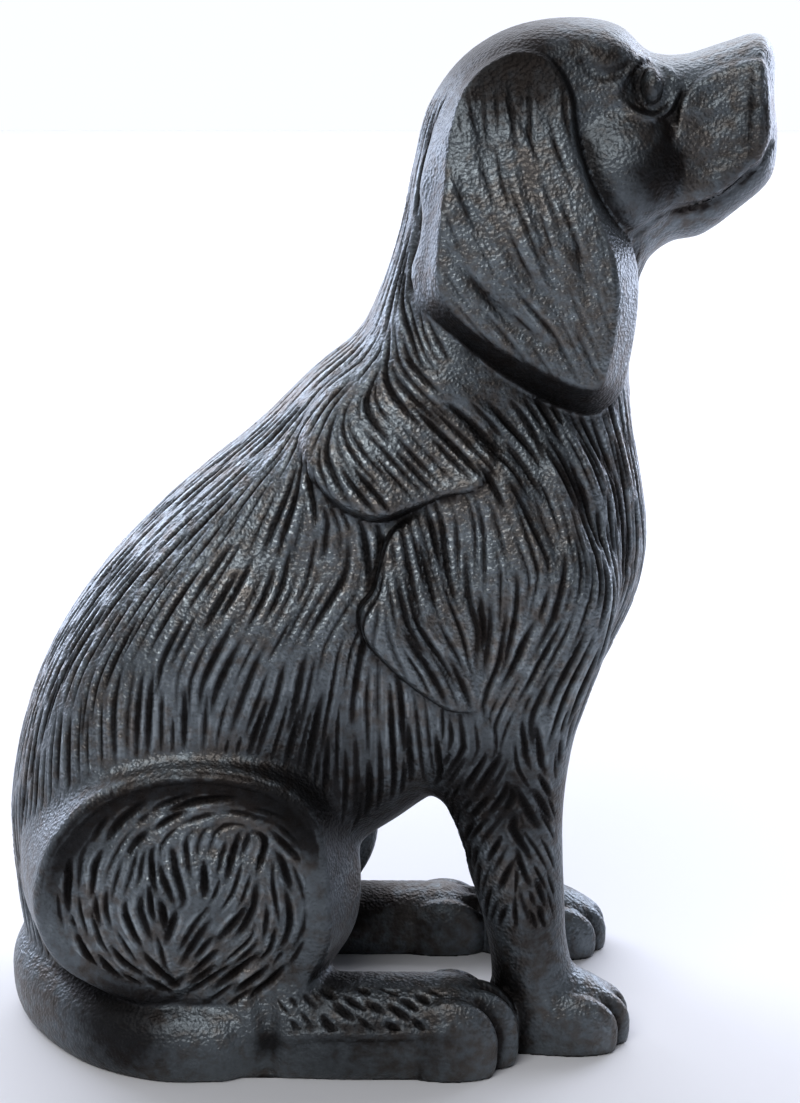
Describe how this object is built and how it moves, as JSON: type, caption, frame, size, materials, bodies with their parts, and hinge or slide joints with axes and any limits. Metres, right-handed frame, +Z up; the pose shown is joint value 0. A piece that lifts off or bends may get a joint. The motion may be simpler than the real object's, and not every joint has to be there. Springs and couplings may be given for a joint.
{
  "type": "dog statue",
  "caption": "Seated long-eared dog with carved coat and its tail curled round its right side, cast as one piece that stands on its paws and haunches.",
  "frame": {"origin": "on the floor plane that the casting stands on, under the centre of its bounding box", "axes": "+X is the way the dog faces, +Y is its left, +Z is up; the tail curls round the side at -Y"},
  "size_m": [0.2666, 0.141, 0.3498],
  "materials": {
    "iron": "dark satin, brown in the recesses"
  },
  "bodies": {
    "root": {"dog": "iron"}
  },
  "joints": []
}
